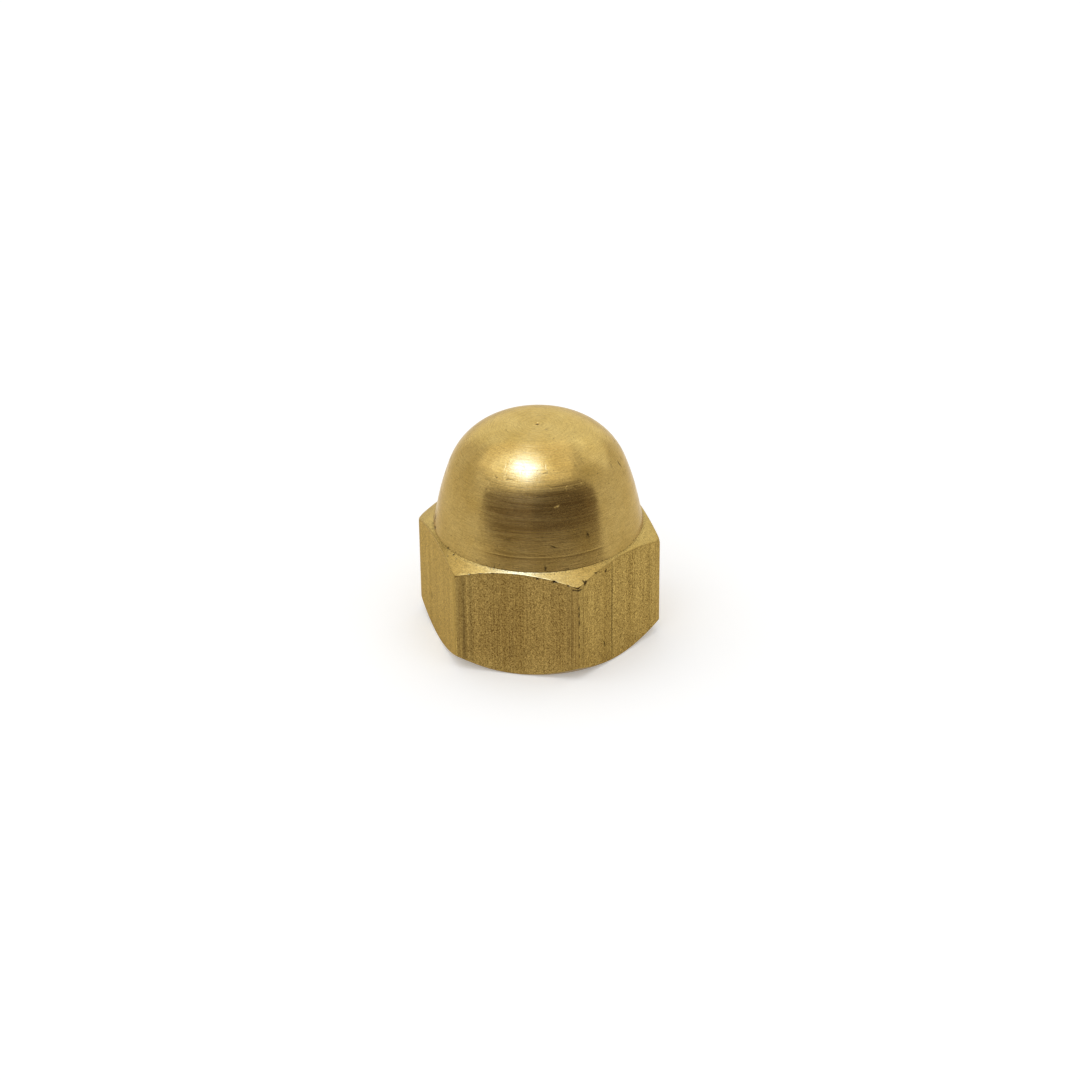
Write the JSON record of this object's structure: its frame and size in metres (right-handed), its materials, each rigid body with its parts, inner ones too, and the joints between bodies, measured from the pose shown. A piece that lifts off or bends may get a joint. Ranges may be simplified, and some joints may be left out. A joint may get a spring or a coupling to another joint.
{
  "type": "cap nut",
  "caption": "Brass hexagon nut closed by a turned dome, with a blind tapped hole for the end of a stud or bolt.",
  "frame": {"origin": "centre of the bearing face, where it meets the thread axis", "axes": "+Z along the thread axis from the bearing face to the dome, +X towards a corner of the hexagon"},
  "size_m": [0.0196, 0.017, 0.0178],
  "materials": {
    "brass": "turned dome and chamfers, drawn matt flats, no plating"
  },
  "bodies": {
    "root": {"cap_nut": "brass"}
  },
  "joints": []
}
